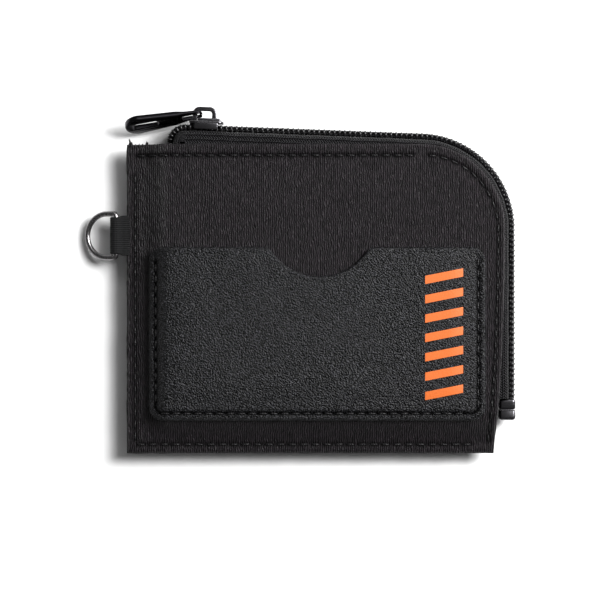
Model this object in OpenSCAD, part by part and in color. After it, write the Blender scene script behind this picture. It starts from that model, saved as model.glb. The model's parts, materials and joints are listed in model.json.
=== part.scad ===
// Zippered pouch: an L-zip wallet of two padded fabric leaves, sewn along the left and bottom edges.
// It lies on its back: +Z points out of the front leaf, +X along the width, +Y towards the zipped top.
// The origin is at the centre of the panels, on the flat of the back leaf.

/* [Panels] */
// Width of the fabric panels
panel_w = 110; // [90:1:135]
// Height of the fabric panels
panel_h = 90; // [74:1:110]
// Radius of the zipped corner
corner_r = 24.5; // [18:0.5:29]
// How far the right edge draws in towards the bottom
edge_taper = 3; // [0:0.5:4]
// Thickness over both padded leaves
pouch_t = 10.2; // [9:0.2:13]

/* [Cloth layers] */
// Outer cloth
shell_t = 0.65; // [0.4:0.05:0.8]
// Foam interlining, and the room for it
foam_t = 0.8; // [0.7:0.1:1.2]
// Lining cloth
lining_t = 0.3; // [0.2:0.05:0.4]
// Zip tape
tape_t = 0.55; // [0.4:0.05:0.6]
// Flat sewn margin on the left and bottom
seam_margin = 3; // [2:0.5:4]
// Width over which a leaf swells from the margin to full thickness
swell_w = 9.5; // [6:0.5:12]

/* [Zip] */
// Spacing of the coil turns on one side
coil_pitch = 1.5; // [1.2:0.1:2]
// Height of the coil above its tape
coil_h = 2; // [1.6:0.1:2.2]
// Half width of the closed coil
coil_half = 2.7; // [2.3:0.1:2.8]
// Coil crest above the top edge, at the slider
crest_top = 5.8; // [5:0.1:7]
// Coil crest beyond the right edge
crest_side = 3.2; // [3:0.1:5]
// Fall of the top run from the slider to the corner
crest_fall = 2.35; // [0:0.05:2.5]
// Place of the closed slider along the top edge
slider_x = 23.2; // [21:0.1:30]
// Length of the slider
slider_l = 10; // [8:0.5:10.5]
// Travel of the slider along the top run
slider_travel = 55; // [30:1:55]
// Height of the end clip
clip_h = 6.3; // [5:0.1:8]
// Lower end of the coil, above the bottom edge
coil_end = 16; // [12.5:0.5:24]

/* [Pull tab] */
// Length of the pull tab from its pivot
pull_l = 22.5; // [18:0.5:26]
// Width of the pull tab at its free end
pull_w = 8; // [6:0.2:9]
// Thickness of the pull tab
pull_t = 1.8; // [1.4:0.1:2]
// Droop of the resting pull tab
pull_droop = 9.7; // [6:0.1:10]
// Roll of the pull tab about its own length
pull_roll = 26; // [0:1:28]

/* [Card pocket] */
// Pocket edge from the left edge of the panel
pocket_left = 6.4; // [5:0.1:9]
// Pocket edge from the right edge of the panel
pocket_right = 5.7; // [5:0.1:9]
// Pocket edge from the bottom edge of the panel
pocket_bottom = 9.6; // [8:0.1:14]
// Height of the pocket
pocket_h = 50.4; // [40:0.1:56]
// Corner radius of the pocket
pocket_r = 4.4; // [2.5:0.1:6]
// Leather
leather_t = 1; // [0.8:0.1:1.4]
// Room for cards under the leather
card_gap = 0.9; // [0.6:0.1:1.6]
// Radius of the thumb notch
notch_r = 16.5; // [12:0.5:20]
// Depth of the thumb notch
notch_d = 8.4; // [5:0.1:11]

/* [Ring] */
// Wire of the ring
ring_wire = 1.6; // [1.2:0.1:1.8]
// Half the height of the ring, on the centre line of its wire
ring_half = 6.4; // [5.5:0.1:8]
// Reach of the ring from its bar to its far side, on the centre line
ring_reach = 9.5; // [8.5:0.1:12]
// Height of the ring's bar along the left edge
ring_y = 63.5; // [30:0.5:70]
// Distance of the bar outside the left edge
bar_out = 3.3; // [3:0.1:5]
// Webbing of the loop that holds the bar
webbing_t = 0.8; // [0.6:0.1:1]
// Angle at which the ring hangs down to the table
ring_droop = 25; // [20:1:26]

/* [Thread] */
// Length of a stitch
stitch_l = 2.4; // [1.8:0.1:2.6]
// Width of the thread
stitch_w = 0.5; // [0.3:0.05:0.6]
// Stitch spacing on the panels
stitch_pitch = 3.4; // [3:0.05:4]
// Stitch spacing on the pocket
pocket_pitch = 3.15; // [3:0.05:4]

/* [Hidden] */

half_t = pouch_t / 2;
seam_half = shell_t + lining_t + 0.05;
layer_gap = 0.05;
full = seam_margin + swell_w;
corner_x = panel_w - corner_r;
corner_y = panel_h - corner_r;

cloth = [0.13, 0.12, 0.13];
lining_cloth = [0.2, 0.2, 0.21];
foam_white = [0.85, 0.85, 0.83];
tape_cloth = [0.16, 0.16, 0.17];
coil_nylon = [0.09, 0.09, 0.1];
leather = [0.11, 0.11, 0.12];
thread = [0.07, 0.07, 0.07];
accent = [0.94, 0.54, 0.21];
gunmetal = [0.24, 0.24, 0.25];
nickel = [0.55, 0.55, 0.56];

// ---- Faces of a leaf, as heights above the middle plane of the pouch ----

function ease(t) = let (c = min(max(t, 0), 1)) c * c * (3 - 2 * c);
function swell(d) = ease((d - seam_margin) / swell_w);
function padded(d) = ease((d - seam_margin) / (swell_w * 0.6));
face = function (x, y) seam_half + (half_t - seam_half) * swell(x) * swell(y);
shell_under = function (x, y) face(x, y) - shell_t;
lining_over = function (x, y) shell_under(x, y) - foam_t * padded(x) * padded(y);
lining_under = function (x, y) lining_over(x, y) - lining_t;
foam_over = function (x, y) shell_under(x, y) - layer_gap;
foam_under = function (x, y) lining_over(x, y) + layer_gap;

// Distances from a sewn edge at which a leaf is sampled, from hem inwards
function seam_steps(hem) = concat([hem], [
    for (k = [0:5]) let (d = seam_margin + swell_w * k / 5) if (d > hem + 0.3) d
]);

// Right edge of a leaf at height y, below the rounded corner
function right_edge(y) = panel_w - edge_taper * pow((corner_y - y) / corner_y, 2);

// Rows of a leaf, each as [y, x of its right end], cut back by trim from the zipped edges
function leaf_rows(hem, trim) = concat(
    [for (y = seam_steps(hem)) [y, right_edge(y) - trim]],
    [for (k = [1:3]) let (y = full + (corner_y - full) * k / 3) [y, right_edge(y) - trim]],
    [for (a = [10:10:90]) [corner_y + (corner_r - trim) * sin(a), corner_x + (corner_r - trim) * cos(a)]]
);

function leaf_grid(hem, trim) = [
    for (row = leaf_rows(hem, trim)) concat(
        [for (x = seam_steps(hem)) [x, row[0]]],
        [for (k = [1:3]) [full + (row[1] - full) * k / 3, row[0]]]
    )
];

// A closed sheet between two heights over a grid of rows
module sheet(grid, under, over) {
    rows = len(grid);
    cols = len(grid[0]);
    total = rows * cols;
    high = [for (row = grid) for (p = row) [p[0], p[1], over(p[0], p[1])]];
    low = [for (row = grid) for (p = row) [p[0], p[1], under(p[0], p[1])]];
    cells = [
        for (j = [0:rows - 2]) for (i = [0:cols - 2]) let (a = j * cols + i, b = a + 1, c = a + cols, d = c + 1)
            each [[a, d, b], [a, c, d], [total + a, total + b, total + d], [total + a, total + d, total + c]]
    ];
    rim = concat(
        [for (i = [0:cols - 1]) i],
        [for (j = [1:rows - 1]) j * cols + cols - 1],
        [for (i = [1:cols - 1]) (rows - 1) * cols + cols - 1 - i],
        [for (j = [1:rows - 2]) (rows - 1 - j) * cols]
    );
    walls = [
        for (k = [0:len(rim) - 1]) let (a = rim[k], b = rim[(k + 1) % len(rim)])
            each [[a, b, total + b], [a, total + b, total + a]]
    ];
    polyhedron(concat(high, low), concat(cells, walls), convexity = 4);
}

module in_place() translate([-panel_w / 2, -panel_h / 2, half_t]) children();
module in_back() in_place() mirror([0, 0, 1]) children();

module leaf_shell() sheet(leaf_grid(0, 0), shell_under, face);

// The zip tape turns in under the leaf, and the foam stops short of it
tape_in = 8.5;
wall_z = 3;
tape_top = half_t - shell_t - 0.1;
bend_r = tape_top - wall_z;
bend_in = coil_h + bend_r;
foam_hem = seam_margin + 3;
foam_trim = bend_in + tape_in - min(crest_side, crest_top - crest_fall) + 0.85;
module leaf_foam() sheet(leaf_grid(foam_hem, foam_trim), foam_under, foam_over);

lining_trim = 1.5;
module leaf_lining() sheet(leaf_grid(0, lining_trim), lining_under, lining_over);

module front_shell() color(cloth) in_place() leaf_shell();
module back_shell() color(cloth) in_back() leaf_shell();
module front_foam() color(foam_white) in_place() leaf_foam();
module back_foam() color(foam_white) in_back() leaf_foam();
module front_lining() color(lining_cloth) in_place() leaf_lining();
module back_lining() color(lining_cloth) in_back() leaf_lining();

// ---- Zip: a crest line along the top, round the corner and down the right side ----

crest_r = corner_r + 3.5;
crest_x = panel_w + crest_side;
arc_x = crest_x - crest_r;
tilt = atan(crest_fall / (arc_x - slider_x));
arc_y = panel_h + crest_top - crest_fall - crest_r / cos(tilt);
tail_r = 5.5;
tail_drop = 1.5;
tail_x = slider_x - slider_l / 2 - 0.9;
turn_x = arc_x + crest_r * sin(tilt);
top_run = (turn_x - tail_x) / cos(tilt);
corner_run = crest_r * (90 - tilt) * PI / 180;
side_run = arc_y - coil_end;
zip_run = top_run + corner_run + side_run;
tail_bend = tail_r * PI / 2;

function crest_line_y(x) = panel_h + crest_top - (x - slider_x) * tan(tilt);
function outward(h) = [-sin(h), cos(h)];

// Point and heading of the crest at a length s from the start of the straight top run; the tail has s < 0
function crest(s) =
    s < -tail_bend ? let (h = 90 - tilt) concat(tail_centre + tail_r * outward(h) + [0, s + tail_bend], h)
    : s < 0 ? let (h = -tilt - s / tail_r * 180 / PI) concat(tail_centre + tail_r * outward(h), h)
    : s < top_run ? [tail_x + s * cos(tilt), crest_line_y(tail_x) - s * sin(tilt), -tilt]
    : s < top_run + corner_run
        ? let (h = -tilt - (s - top_run) / crest_r * 180 / PI) concat([arc_x, arc_y] + crest_r * outward(h), h)
    : [crest_x, arc_y - (s - top_run - corner_run), -90];

tail_centre = [tail_x, crest_line_y(tail_x)] - tail_r * outward(-tilt);

// Section of one tape, in depth below the crest and height above the middle plane: a wall under the coil
// that turns over into the leaf
tape_gap = 0.35;
function tape_section(leg) = concat(
    [[coil_h, tape_gap]],
    [for (a = [0:30:90]) [bend_in - bend_r * cos(a), wall_z + bend_r * sin(a)]],
    [[bend_in + leg, tape_top], [bend_in + leg, tape_top - tape_t]],
    [for (a = [90:-30:0]) [bend_in - (bend_r - tape_t) * cos(a), wall_z + (bend_r - tape_t) * sin(a)]],
    [[coil_h + tape_t, tape_gap]]
);

tail_leg = 0.5;
tape_stations = concat(
    [[-tail_bend - tail_drop, tail_leg]],
    [for (k = [6:-1:1]) [-tail_bend * k / 6, tail_leg]],
    [[0.01, tape_in]],
    [for (k = [0:9]) [top_run + corner_run * k / 9, tape_in]],
    [[zip_run, tape_in]]
);

module zip_tape() {
    rings = [
        for (st = tape_stations) let (c = crest(st[0]), n = outward(c[2]))
            [for (p = tape_section(st[1])) [c[0] - p[0] * n[0], c[1] - p[0] * n[1], p[1]]]
    ];
    count = len(rings[0]);
    last = (len(rings) - 1) * count;
    sides = [
        for (k = [0:len(rings) - 2]) for (m = [0:count - 1])
            let (a = k * count + m, b = k * count + (m + 1) % count, c = a + count, d = b + count)
            each [[a, c, d], [a, d, b]]
    ];
    ends = [[for (m = [0:count - 1]) m], [for (m = [count - 1:-1:0]) last + m]];
    polyhedron([for (r = rings) each r], concat(sides, ends), convexity = 6);
}

// One turn of the coil is a block that reaches from the tape's inner edge to the side of the coil
turn_l = 0.65;
module zip_coil(shift) {
    first = -tail_bend - 0.6 + shift;
    for (k = [0:floor((zip_run - first - turn_l) / coil_pitch)]) {
        c = crest(first + k * coil_pitch);
        translate([c[0], c[1], tape_gap]) rotate([0, 0, c[2]])
            translate([-turn_l / 2, -coil_h, 0]) cube([turn_l, coil_h, coil_half - tape_gap]);
    }
}

module front_zip_tape() color(tape_cloth) in_place() zip_tape();
module back_zip_tape() color(tape_cloth) in_back() zip_tape();
module front_zip_coil() color(coil_nylon) in_place() zip_coil(0);
module back_zip_coil() color(coil_nylon) in_back() zip_coil(coil_pitch / 2);

clip_w = 4.8;
clip_half = 2.6;
clip_r = 1.2;
clip_groove = 0.4;
module zip_end_clip() color(gunmetal) in_place() {
    low = coil_end - clip_h;
    left = crest_x + 0.1 - clip_w;
    difference() {
        translate([0, 0, -clip_half]) linear_extrude(2 * clip_half) hull() {
            translate([left + 0.5, low + 0.5]) circle(0.5, $fn = 24);
            translate([left + clip_w - clip_r, low + clip_r]) circle(clip_r, $fn = 32);
            translate([left, coil_end - 1]) square([clip_w, 1]);
        }
        for (side = [-1, 1])
            translate([left - 1, low + clip_h / 2, side * clip_half - clip_groove / 2])
                cube([clip_w + 2, clip_groove, clip_groove]);
    }
}

// ---- Slider, its bridge and the pull tab, in a frame on the crest with +Y outwards ----

channel_half = coil_half + 0.25;
slider_half = channel_half + 0.75;
plate_low = 0.2;
plate_top = 1.05;
flange_low = 0.6 - coil_h;
keel_top = -coil_h - tape_t - 1.05;
keel_t = 1;
post_half = 0.2;
nose_l = 1.6;
bridge_wire = 1.3;
bridge_w = 1.2;
bridge_l = 6.9;
bridge_top = 5.3;
bridge_mid = -0.65;
pivot = [bridge_mid - 1.05, 3.2];

module on_slider() in_place() translate([slider_x, crest_line_y(slider_x), 0]) rotate([0, 0, -tilt]) children();

// A plate with rounded corners in the slider's length and the pouch's thickness, from w0 to w1 outwards
module slider_plate(l, half, r, w0, w1) translate([0, w0, 0]) rotate([-90, 0, 0]) linear_extrude(w1 - w0)
    hull() for (x = [-1, 1], z = [-1, 1]) translate([x * (l / 2 - r), z * (half - r)]) circle(r, $fn = 32);

module slider_body() color(gunmetal) on_slider() {
    slider_plate(slider_l, slider_half, 1.6, plate_low, plate_top);
    slider_plate(slider_l, channel_half + 0.25, 1.2, keel_top - keel_t, keel_top);
    for (side = [-1, 1])
        translate([-slider_l / 2 + 1.6, flange_low, side * (channel_half + slider_half) / 2 - 0.375])
            cube([slider_l - 3.2, plate_low - flange_low, 0.75]);
    translate([-slider_l / 2 + 0.2, keel_top, -post_half]) cube([nose_l, plate_low - keel_top, 2 * post_half]);
}

module slider_bridge() color(gunmetal) on_slider() {
    inner_l = bridge_l - 2 * bridge_wire;
    inner_top = bridge_top - bridge_wire;
    translate([bridge_mid, 0, -bridge_w / 2]) linear_extrude(bridge_w) difference() {
        hull() {
            translate([-bridge_l / 2, plate_top]) square([bridge_l, 0.5]);
            for (x = [-1, 1]) translate([x * (bridge_l / 2 - 2), bridge_top - 2]) circle(2, $fn = 32);
        }
        hull() {
            translate([-inner_l / 2, plate_top - 1]) square([inner_l, 1]);
            for (x = [-1, 1]) translate([x * (inner_l / 2 - 0.8), inner_top - 0.8]) circle(0.8, $fn = 32);
        }
    }
}

eye_half = 1.95;
eye_gap = 1.1;
eye_l = 5.7;
eye_t = 1;
bar_r = 0.45;
slot_half = 1.5;
slot_end = 1.9;
slot_l = 8.2;

module pull_outline() hull() {
    translate([eye_half - 0.55, 0]) circle(eye_half, $fn = 48);
    translate([pull_l - pull_w / 2, 0]) circle(pull_w / 2, $fn = 64);
}

// The tab's length is along X and its width along Z, with its crossbar on the origin
module pull_plate(t) rotate([90, 0, 0]) linear_extrude(t, center = true) children();

module pull_tab() color(gunmetal) on_slider() translate([pivot[0], pivot[1], 0]) {
    bar_half = eye_half * cos(pull_roll);
    translate([0, 0, -bar_half]) cylinder(h = 2 * bar_half, r = bar_r, $fn = 32);
    rotate([0, 0, 180 + pull_droop + tilt]) rotate([pull_roll, 0, 0]) {
        pull_plate(eye_t) difference() {
            pull_outline();
            translate([-2, -eye_gap]) square([eye_l + 2, 2 * eye_gap]);
            pull_slot();
        }
        pull_plate(pull_t) difference() {
            pull_outline();
            translate([-2, -pull_w]) square([eye_l + 3, 2 * pull_w]);
            pull_slot();
        }
    }
}

module pull_slot() hull() for (x = [slot_end + slot_half, slot_end + slot_l - slot_half])
    translate([pull_l - x, 0]) circle(slot_half, $fn = 32);

// ---- Card pocket on the front leaf ----

pocket_x0 = pocket_left;
pocket_x1 = panel_w - pocket_right;
pocket_y0 = pocket_bottom;
pocket_y1 = pocket_bottom + pocket_h;
pocket_mid = (pocket_x0 + pocket_x1) / 2 + 0.75;
pocket_hem = 3;
pocket_rise = 3;
notch_half = notch_r + 1;
notch_soft = 1.2;

function pocket_open(x, y) = ease((x - pocket_x0 - pocket_hem) / pocket_rise)
    * ease((pocket_x1 - pocket_hem - x) / pocket_rise) * ease((y - pocket_y0 - pocket_hem) / pocket_rise);
pocket_under = function (x, y) face(x, y) + layer_gap + card_gap * pocket_open(x, y);
pocket_over = function (x, y) pocket_under(x, y) + leather_t;

// Height lost to the pocket's rounded corners at x
function corner_cut(x) = let (d = min(x - pocket_x0, pocket_x1 - x))
    d < pocket_r ? pocket_r - sqrt(max(0, pocket_r * pocket_r - pow(pocket_r - d, 2))) : 0;

// The top edge dips in an arc at the notch, with soft shoulders
function softer(a, b) = (a + b - sqrt(pow(a - b, 2) + notch_soft * notch_soft)) / 2;
function pocket_edge(x) = let (d = abs(x - pocket_mid))
    d < notch_r ? softer(pocket_y1 - notch_d + notch_r - sqrt(notch_r * notch_r - d * d), pocket_y1) : pocket_y1;

pocket_columns = concat(
    [for (a = [0:30:90]) pocket_x0 + pocket_r * (1 - cos(a))],
    [full, (full + pocket_mid - notch_half) / 2],
    [for (k = [-9:9]) pocket_mid + notch_half * k / 9],
    [(pocket_mid + notch_half + pocket_x1 - 6) / 2, pocket_x1 - 6],
    [for (a = [90:-30:0]) pocket_x1 - pocket_r * (1 - cos(a))]
);
pocket_levels = [0, 0.03, 0.06, 0.09, 0.12, 0.4, 0.7, 1];

module card_pocket() color(leather) in_place() sheet(
    [
        for (v = pocket_levels) [
            for (x = pocket_columns) let (low = pocket_y0 + corner_cut(x), high = pocket_edge(x) - corner_cut(x))
                [x, low + (high - low) * v]
        ]
    ], pocket_under, pocket_over
);

// Plain slanted bars printed beside the right edge of the pocket
bar_count = 7;
bar_pitch = 5.6;
bar_h = 2.4;
bar_slant = 2.2;
bar_l = 11;
bar_x = pocket_x1 - 17.6;
bar_y = pocket_y0 + pocket_h / 2 - (bar_pitch * (bar_count - 1) + bar_h + bar_slant) / 2;
print_t = 0.1;
module accent_print() color(accent) in_place()
    translate([bar_x, bar_y, half_t + layer_gap + card_gap + leather_t])
        for (k = [0:bar_count - 1]) translate([0, k * bar_pitch, 0]) linear_extrude(print_t)
            polygon([[0, 0], [bar_l, bar_slant], [bar_l, bar_slant + bar_h], [0, bar_h]]);

// ---- Stitches ----

stitch_h = 0.3;
slope_step = 0.4;

// One stitch on a cover at [x, y, heading], standing proud by the given amount
module stitch(at, cover, proud) {
    u = slope_step * [cos(at[2]), sin(at[2])];
    v = slope_step * [-sin(at[2]), cos(at[2])];
    here = cover(at[0], at[1]);
    along = cover(at[0] + u[0], at[1] + u[1]) - cover(at[0] - u[0], at[1] - u[1]);
    across = cover(at[0] + v[0], at[1] + v[1]) - cover(at[0] - v[0], at[1] - v[1]);
    translate([at[0], at[1], here + proud]) rotate([0, 0, at[2]])
        rotate([atan(across / 2 / slope_step), -atan(along / 2 / slope_step), 0])
            translate([-stitch_l / 2, -stitch_w / 2, -stitch_h]) cube([stitch_l, stitch_w, stitch_h]);
}

proud = 0.15;
zip_inset_top = 3.3;
zip_inset_side = 2;
inset_arc = corner_r - (zip_inset_top + zip_inset_side) / 2;
arc_stitches = round(inset_arc * PI / 2 / stitch_pitch);
zip_line = concat(
    [for (x = [4:stitch_pitch:corner_x]) [x, panel_h - zip_inset_top, 0]],
    [
        for (k = [1:arc_stitches - 1])
            let (a = 90 - 90 * k / arc_stitches, r = corner_r - zip_inset_side - (zip_inset_top - zip_inset_side) * a / 90)
            [corner_x + r * cos(a), corner_y + r * sin(a), a - 90]
    ],
    [for (y = [corner_y:-stitch_pitch:4]) [right_edge(y) - zip_inset_side, y, -90]]
);
module front_zip_stitching() color(thread) in_place() for (at = zip_line) stitch(at, face, proud);
module back_zip_stitching() color(thread) in_back() for (at = zip_line) stitch(at, face, 0);

left_inset = 2.4;
bottom_inset = 2.6;
seam_line = concat(
    [for (y = [5:stitch_pitch:panel_h - 7]) [left_inset, y, 90]],
    [for (x = [4:stitch_pitch:panel_w - 8]) [x, bottom_inset, 0]]
);
module seam_stitching() color(thread) {
    in_place() for (at = seam_line) stitch(at, face, proud);
    in_back() for (at = seam_line) stitch(at, face, proud);
}

pocket_inset = 2.2;
turn_in = pocket_r + 0.6;
pocket_line = concat(
    [for (y = [pocket_y1 - 6:-pocket_pitch:pocket_y0 + turn_in]) [pocket_x0 + pocket_inset, y, 90]],
    [for (x = [pocket_x0 + turn_in:pocket_pitch:pocket_x1 - turn_in]) [x, pocket_y0 + pocket_inset, 0]],
    [for (y = [pocket_y0 + turn_in:pocket_pitch:pocket_y1 - 4]) [pocket_x1 - pocket_inset, y, 90]]
);
module pocket_stitching() color(thread) in_place() for (at = pocket_line) stitch(at, pocket_over, proud);

// ---- Webbing loop and D-ring on the left edge ----

bar_fit = 0.1;
loop_r = ring_wire / 2 + bar_fit + webbing_t;
loop_half = ring_half - ring_wire / 2 - 0.2;
tab_half = 5.85;
tongue_l = 6;
tongue_half = 0.33;
module ring_tab() color(cloth) in_place() translate([0, ring_y, 0]) difference() {
    union() {
        rotate([90, 0, 0]) linear_extrude(2 * loop_half, center = true) hull() {
            translate([-bar_out, 0]) circle(loop_r, $fn = 64);
            translate([-0.5, -seam_half]) square([0.5, 2 * seam_half]);
        }
        translate([-1.8, -tab_half, -seam_half]) cube([1.8, 2 * tab_half, 2 * seam_half]);
        translate([-0.5, -tab_half, -tongue_half]) cube([tongue_l + 0.5, 2 * tab_half, 2 * tongue_half]);
    }
    translate([-bar_out, 0, 0]) rotate([90, 0, 0])
        cylinder(h = 4 * loop_half, r = ring_wire / 2 + bar_fit, center = true, $fn = 64);
}

module d_ring() color(nickel) in_place() translate([-bar_out, ring_y, 0]) rotate([0, -ring_droop, 0]) {
    leg = ring_reach - ring_half;
    rotate([90, 0, 0]) cylinder(h = 2 * ring_half, r = ring_wire / 2, center = true, $fn = 48);
    for (side = [-1, 1]) translate([0, side * ring_half, 0]) {
        sphere(r = ring_wire / 2, $fn = 48);
        rotate([0, -90, 0]) cylinder(h = leg, r = ring_wire / 2, $fn = 48);
    }
    translate([-leg, 0, 0]) rotate([0, 0, 90]) rotate_extrude(angle = 180, $fn = 96)
        translate([ring_half, 0]) circle(ring_wire / 2, $fn = 48);
}

front_shell();
front_foam();
front_lining();
back_shell();
back_foam();
back_lining();
card_pocket();
pocket_stitching();
accent_print();
front_zip_tape();
back_zip_tape();
front_zip_coil();
back_zip_coil();
zip_end_clip();
front_zip_stitching();
back_zip_stitching();
seam_stitching();
ring_tab();
d_ring();
slider_body();
slider_bridge();
pull_tab();
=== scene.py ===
"""Looks of the zippered pouch: crinkled nylon leaves, a pebbled card pocket, a coil zip and its metal parts.

Lengths are in millimetres on the pouch's own layout: x from the left edge of the panels, y from their bottom
edge, and z from the middle plane between the two leaves. place() turns them into the frame's metres.
"""

import json
import math

import bpy
import numpy as np
from mathutils import Matrix, Vector, noise


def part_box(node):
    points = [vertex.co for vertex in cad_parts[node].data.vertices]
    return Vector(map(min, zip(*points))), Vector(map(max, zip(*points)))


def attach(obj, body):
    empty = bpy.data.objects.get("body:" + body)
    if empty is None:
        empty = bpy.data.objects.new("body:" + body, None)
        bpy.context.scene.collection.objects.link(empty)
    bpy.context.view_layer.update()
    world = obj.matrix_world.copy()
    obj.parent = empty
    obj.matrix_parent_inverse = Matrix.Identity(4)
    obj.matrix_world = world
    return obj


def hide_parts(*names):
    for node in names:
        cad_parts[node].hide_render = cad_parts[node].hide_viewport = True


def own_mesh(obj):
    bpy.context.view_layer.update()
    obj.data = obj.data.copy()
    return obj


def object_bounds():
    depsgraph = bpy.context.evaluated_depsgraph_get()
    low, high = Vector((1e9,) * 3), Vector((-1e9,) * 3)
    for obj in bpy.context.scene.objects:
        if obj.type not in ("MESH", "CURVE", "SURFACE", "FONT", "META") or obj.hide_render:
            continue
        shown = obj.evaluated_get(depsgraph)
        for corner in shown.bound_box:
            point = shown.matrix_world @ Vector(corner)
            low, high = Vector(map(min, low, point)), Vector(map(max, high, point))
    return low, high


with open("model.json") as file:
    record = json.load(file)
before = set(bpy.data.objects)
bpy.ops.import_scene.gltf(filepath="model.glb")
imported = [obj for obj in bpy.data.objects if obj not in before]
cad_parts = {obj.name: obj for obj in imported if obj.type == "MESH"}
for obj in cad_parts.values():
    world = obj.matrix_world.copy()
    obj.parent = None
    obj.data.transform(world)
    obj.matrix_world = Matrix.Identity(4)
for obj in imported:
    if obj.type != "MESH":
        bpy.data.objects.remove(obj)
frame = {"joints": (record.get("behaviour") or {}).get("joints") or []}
cad_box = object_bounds()

MM = 0.001


def size_of(node_name):
    """Lowest and highest corners of a CAD node, in millimetres of the frame."""
    low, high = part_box(node_name)
    return np.array(low) / MM, np.array(high) / MM


# ---- The layout, from the CAD frame ----

FRONT_LOW, FRONT_HIGH = size_of("front_shell")
BACK_LOW = size_of("back_shell")[0]
PANEL_W = FRONT_HIGH[0] - FRONT_LOW[0]
PANEL_H = FRONT_HIGH[1] - FRONT_LOW[1]
HALF_T = (FRONT_HIGH[2] - BACK_LOW[2]) / 2
ORIGIN = np.array([FRONT_LOW[0], FRONT_LOW[1], BACK_LOW[2] + HALF_T])


def layout(node_name):
    """Lowest and highest corners of a CAD node on the pouch's layout."""
    low, high = size_of(node_name)
    return low - ORIGIN, high - ORIGIN


CORNER_R = 24.5
EDGE_TAPER = 3.0
SHELL_T = 0.65
FOAM_T = 0.8
LINING_T = 0.3
TAPE_T = 0.55
SEAM_MARGIN = 3.0
SWELL_W = 9.5
LAYER_GAP = 0.05
SEAM_HALF = SHELL_T + LINING_T + LAYER_GAP
LINING_TRIM = 1.5
FOAM_HEM = 6.0
FOAM_TRIM = 9.5
CORNER_X = PANEL_W - CORNER_R
CORNER_Y = PANEL_H - CORNER_R

CLIP_LOW, CLIP_HIGH = layout("zip_end_clip")
POCKET_LOW, POCKET_HIGH = layout("card_pocket")
RING_LOW, RING_HIGH = layout("d_ring")

# The zip's crest line: a straight top run that falls gently, the corner's arc, and the straight right run
COIL_PITCH = 1.5
COIL_H = 2.0
COIL_HALF = 2.7
SLIDER_X = 23.2
SLIDER_L = 10.0
CREST_TOP = 5.8
CREST_SIDE = 3.2
CREST_FALL = 2.35
COIL_END = CLIP_HIGH[1]
CREST_BEYOND = 3.5
CREST_R = CORNER_R + CREST_BEYOND
CREST_X = PANEL_W + CREST_SIDE
ARC_X = CREST_X - CREST_R
TILT = math.atan(CREST_FALL / (ARC_X - SLIDER_X))
ARC_Y = PANEL_H + CREST_TOP - CREST_FALL - CREST_R / math.cos(TILT)
TAIL_R = 5.5
TAIL_DROP = 1.5
TAIL_START = 0.9
TAIL_X = SLIDER_X - SLIDER_L / 2 - TAIL_START
TURN_X = ARC_X + CREST_R * math.sin(TILT)
TOP_RUN = (TURN_X - TAIL_X) / math.cos(TILT)
CORNER_RUN = CREST_R * (math.pi / 2 - TILT)
ZIP_RUN = TOP_RUN + CORNER_RUN + ARC_Y - COIL_END
TAIL_BEND = TAIL_R * math.pi / 2
TRAVEL = next(j["range_m"][1] for j in frame["joints"] if j["name"] == "slider_travel") / MM


def place(points):
    """Layout millimetres to frame metres."""
    return (np.asarray(points, float) + ORIGIN) * MM


def ease(t):
    t = np.clip(t, 0, 1)
    return t * t * (3 - 2 * t)


def bump_at(d, width):
    return np.exp(-(d / width) ** 2)


def crest_line_y(x):
    return PANEL_H + CREST_TOP - (x - SLIDER_X) * math.tan(TILT)


TAIL_CENTRE = np.array([TAIL_X, crest_line_y(TAIL_X)]) - TAIL_R * np.array([math.sin(TILT), math.cos(TILT)])


def crest(s):
    """Points and outward normals of the crest line at lengths s from the start of the top run.

    The tail has s < 0.
    """
    s = np.atleast_1d(np.asarray(s, float))
    turn = np.select(
        [s < -TAIL_BEND, s < 0, s < TOP_RUN, s < TOP_RUN + CORNER_RUN],
        [math.pi / 2 - TILT, -TILT - s / TAIL_R, -TILT, -TILT - (s - TOP_RUN) / CREST_R],
        -math.pi / 2,
    )
    out = np.stack([-np.sin(turn), np.cos(turn)], 1)
    tail = TAIL_CENTRE + TAIL_R * out
    tail[:, 1] += np.minimum(s + TAIL_BEND, 0)
    top = np.stack([TAIL_X + s * math.cos(TILT), crest_line_y(TAIL_X) - s * math.sin(TILT)], 1)
    arc = np.array([ARC_X, ARC_Y]) + CREST_R * out
    side = np.stack([np.full_like(s, CREST_X), ARC_Y - (s - TOP_RUN - CORNER_RUN)], 1)
    parts = [s[:, None] < 0, s[:, None] < TOP_RUN, s[:, None] < TOP_RUN + CORNER_RUN]
    return np.select(parts, [tail, top, arc], side), out


# ---- Leaf surfaces, as heights above the middle plane ----


def swell(d):
    return ease((d - SEAM_MARGIN) / SWELL_W)


def padding(d):
    return ease((d - SEAM_MARGIN) / (SWELL_W * 0.6))


def face(x, y):
    return SEAM_HALF + (HALF_T - SEAM_HALF) * swell(x) * swell(y)


def right_edge(y):
    return PANEL_W - EDGE_TAPER * (np.maximum(CORNER_Y - y, 0) / CORNER_Y) ** 2


def noise_at(x, y, scale_x, scale_y, seed):
    """Smooth noise from -1 to 1 with features about scale_x by scale_y millimetres."""
    flat = zip(np.ravel(x / scale_x), np.ravel(y / scale_y))
    return np.array([noise.noise(Vector((a, b, seed))) for a, b in flat]).reshape(np.shape(x))


# ---- Stitch lines: rows of [x, y, heading] ----

STITCH_L = 2.4
STITCH_PITCH = 3.4
POCKET_PITCH = 3.15
ZIP_INSET_TOP = 3.3
ZIP_INSET_SIDE = 2.0
LEFT_INSET = 2.4
BOTTOM_INSET = 2.6
POCKET_INSET = 2.2
POCKET_R = 4.4


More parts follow.
